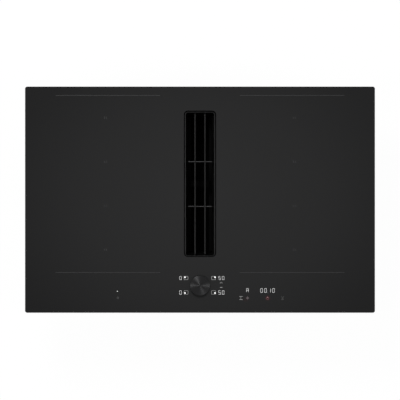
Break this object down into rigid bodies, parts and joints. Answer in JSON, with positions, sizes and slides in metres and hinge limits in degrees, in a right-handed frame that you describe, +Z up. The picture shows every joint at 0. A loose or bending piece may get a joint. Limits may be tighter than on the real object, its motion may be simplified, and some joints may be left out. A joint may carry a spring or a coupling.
{
  "type": "downdraft induction cooktop",
  "caption": "Black glass induction cooktop with a central downdraft air inlet, a magnetic control knob, flexible coil zones and a blower housing beneath.",
  "frame": {"origin": "middle of the seat, on the worktop's surface, under the centre of the glass", "axes": "+X to the user's right, +Y to the back, +Z up out of the worktop"},
  "size_m": [0.792, 0.512, 0.2344],
  "materials": {
    "glass": "polished black glass-ceramic",
    "seal": "closed-cell foam and silicone, matt",
    "grille": "cast and enamelled, satin black",
    "chimney": "moulded, fine-grained black",
    "basket": "moulded, satin dark grey",
    "filter_mesh": "expanded steel mesh, coated black",
    "knob_metal": "circular-turned dark metal",
    "knob_plastic": "moulded black",
    "felt": "soft glide pad",
    "magnet": "nickel-plated",
    "casing": "hot-dip galvanised sheet",
    "spring_steel": "bright spring steel",
    "litz": "enamelled copper litz wire",
    "former": "heat-resistant moulding, off-white",
    "ferrite": "sintered, dark grey",
    "mat": "ceramic-fibre felt",
    "aluminium": "mill finish",
    "board": "circuit board with solder mask",
    "component": "moulded electronic parts",
    "fan_plastic": "moulded black",
    "white_plastic": "moulded white light box",
    "housing": "moulded, fine-grained black",
    "tank": "moulded mid grey",
    "wheel": "moulded dark grey",
    "motor_steel": "zinc-plated",
    "screw": "zinc-plated",
    "bush": "moulded rubber"
  },
  "bodies": {
    "cooktop": {"glass_plate": "glass", "perimeter_seal": "seal", "inlet_seal": "seal", "inlet_chimney": "chimney", "casing_tray": "casing", "worktop_springs": "spring_steel", "coil_formers": "former", "coil_ferrites": "ferrite", "pan_sensors": "former", "insulation_mats": "mat", "support_posts": "white_plastic", "control_frame": "white_plastic", "display_modules": "component", "knob_dock": "magnet", "control_board": "board", "control_carrier": "fan_plastic", "vent_housing_upper": "housing", "vent_housing_lower": "housing", "scroll_cover": "housing", "outlet_spigot": "housing", "blower_motor_base": "motor_steel", "blower_bushes": "bush", "terminal_box": "fan_plastic", "terminal_cover": "fan_plastic", "terminal_fittings": "white_plastic", "casing_screws": "screw", "housing_screws": "screw", "coil_plate_left": "aluminium", "inverter_board_left": "board", "heatsink_left": "aluminium", "power_components_left": "component", "cooling_fan_frame_left": "fan_plastic", "coil_winding_left_1": "litz", "coil_winding_left_2": "litz", "coil_winding_left_3": "litz", "coil_winding_left_4": "litz", "coil_plate_right": "aluminium", "inverter_board_right": "board", "heatsink_right": "aluminium", "power_components_right": "component", "cooling_fan_frame_right": "fan_plastic", "coil_winding_right_1": "litz", "coil_winding_right_2": "litz", "coil_winding_right_3": "litz", "coil_winding_right_4": "litz"},
    "filter_unit": {"filter_basket": "basket", "grease_filter_left": "filter_mesh", "grease_filter_right": "filter_mesh"},
    "grille": {"inlet_grille": "grille"},
    "knob_foot": {"knob_foot": "felt"},
    "knob_pivot": {"knob_pivot": "magnet"},
    "knob": {"knob_base": "knob_plastic", "knob_magnets": "magnet", "knob_cap": "knob_metal"},
    "blower_spinner": {"blower_rotor": "motor_steel", "blower_bearings": "screw", "blower_wheel": "wheel"},
    "cooling_rotor_left": {"cooling_fan_rotor_left": "fan_plastic"},
    "cooling_rotor_right": {"cooling_fan_rotor_right": "fan_plastic"},
    "overflow_tank": {"overflow_tank": "tank"}
  },
  "joints": [
    {"name": "filter_lift", "type": "slide", "parent": "cooktop", "child": "filter_unit", "axis": [0, 0, 1], "range_m": [0, 0.18]},
    {"name": "grille_lift", "type": "slide", "parent": "filter_unit", "child": "grille", "axis": [0, 0, 1], "range_m": [0, 0.06]},
    {"name": "knob_lift", "type": "slide", "parent": "cooktop", "child": "knob_foot", "axis": [0, 0, 1], "range_m": [0, 0.04]},
    {"name": "knob_turn", "type": "hinge", "parent": "knob_foot", "child": "knob_pivot", "pos_m": [0, -0.194, 0.0068], "axis": [0, 0, 1], "continuous": true},
    {"name": "knob_tilt", "type": "hinge", "parent": "knob_pivot", "child": "knob", "pos_m": [0, -0.194, 0.0068], "axis": [1, 0, 0], "range_deg": [-2, 2], "stiffness_Nm_per_rad": 0.4},
    {"name": "blower_spin", "type": "hinge", "parent": "cooktop", "child": "blower_spinner", "pos_m": [-0.18543, -0.07175, -0.19], "axis": [0, 0, 1], "continuous": true},
    {"name": "cooling_spin_left", "type": "hinge", "parent": "cooktop", "child": "cooling_rotor_left", "pos_m": [-0.334, -0.108, -0.042], "axis": [0, 0, 1], "continuous": true},
    {"name": "cooling_spin_right", "type": "hinge", "parent": "cooktop", "child": "cooling_rotor_right", "pos_m": [0.334, -0.108, -0.042], "axis": [0, 0, 1], "continuous": true},
    {"name": "tank_drop", "type": "slide", "parent": "cooktop", "child": "overflow_tank", "axis": [0, 0, -1], "range_m": [0, 0.08]}
  ]
}
